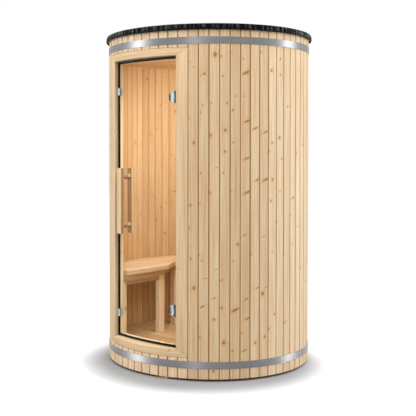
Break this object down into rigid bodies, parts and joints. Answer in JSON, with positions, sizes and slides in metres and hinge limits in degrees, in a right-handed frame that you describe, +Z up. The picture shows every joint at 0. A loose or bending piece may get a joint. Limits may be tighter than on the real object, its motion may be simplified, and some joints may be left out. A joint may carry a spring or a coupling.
{
  "type": "upright barrel sauna cabin",
  "caption": "Round upright sauna cabin of wooden staves held by steel bands, with a hinged glass door, a bench, a raised floor and a flat roof.",
  "frame": {"origin": "on the ground under the middle of the barrel", "axes": "+Z up, the door faces -Y, +X is on the door's hinge side"},
  "size_m": [1.2848, 1.285, 2.005],
  "materials": {
    "wall_wood": "planed, oiled softwood",
    "frame_wood": "planed softwood",
    "floor_wood": "planed softwood boards",
    "ceiling_wood": "planed softwood boards",
    "runner_wood": "rough sawn, treated",
    "bench_wood": "sanded light wood",
    "handle_wood": "sanded, oiled",
    "band_steel": "brushed",
    "hinge_steel": "satin",
    "catch_steel": "satin",
    "door_glass": "clear, toughened",
    "seal_rubber": "matt",
    "roof_membrane": "matt, finely grained"
  },
  "bodies": {
    "cabin": {"wall_segment_01": "wall_wood", "wall_segment_02": "wall_wood", "wall_segment_03": "wall_wood", "wall_segment_04": "wall_wood", "wall_segment_05": "wall_wood", "wall_segment_06": "wall_wood", "wall_segment_07": "wall_wood", "wall_segment_08": "wall_wood", "wall_segment_09": "wall_wood", "wall_segment_10": "wall_wood", "wall_segment_11": "wall_wood", "wall_over_door": "wall_wood", "wall_under_door": "wall_wood", "frame_head": "frame_wood", "frame_sill": "frame_wood", "frame_stile_left": "frame_wood", "frame_stile_right": "frame_wood", "floor": "floor_wood", "ceiling": "ceiling_wood", "runner_left": "runner_wood", "runner_right": "runner_wood", "outer_runners": "runner_wood", "roof_deck": "ceiling_wood", "roof_membrane": "roof_membrane", "band_lower": "band_steel", "band_upper": "band_steel", "door_seal": "seal_rubber", "hinge_leaf_upper": "hinge_steel", "hinge_leaf_lower": "hinge_steel", "catch_magnets": "catch_steel", "bench_seat": "bench_wood", "bench_bearer": "bench_wood", "bench_rail": "bench_wood", "bench_post_door": "bench_wood", "bench_post_knee": "bench_wood", "bench_post_tail": "bench_wood", "bench_cleats": "bench_wood"},
    "door": {"door_glass": "door_glass", "hinge_clamp_upper": "hinge_steel", "hinge_clamp_lower": "hinge_steel", "catch_strikes": "catch_steel", "handle_outer_bar": "handle_wood", "handle_inner_bar": "handle_wood", "handle_spacers": "handle_wood"}
  },
  "joints": [
    {"name": "door_hinge", "type": "hinge", "parent": "cabin", "child": "door", "pos_m": [0.2405, -0.56105, 0.997], "axis": [0, 0, 1], "range_deg": [0, 100]}
  ]
}
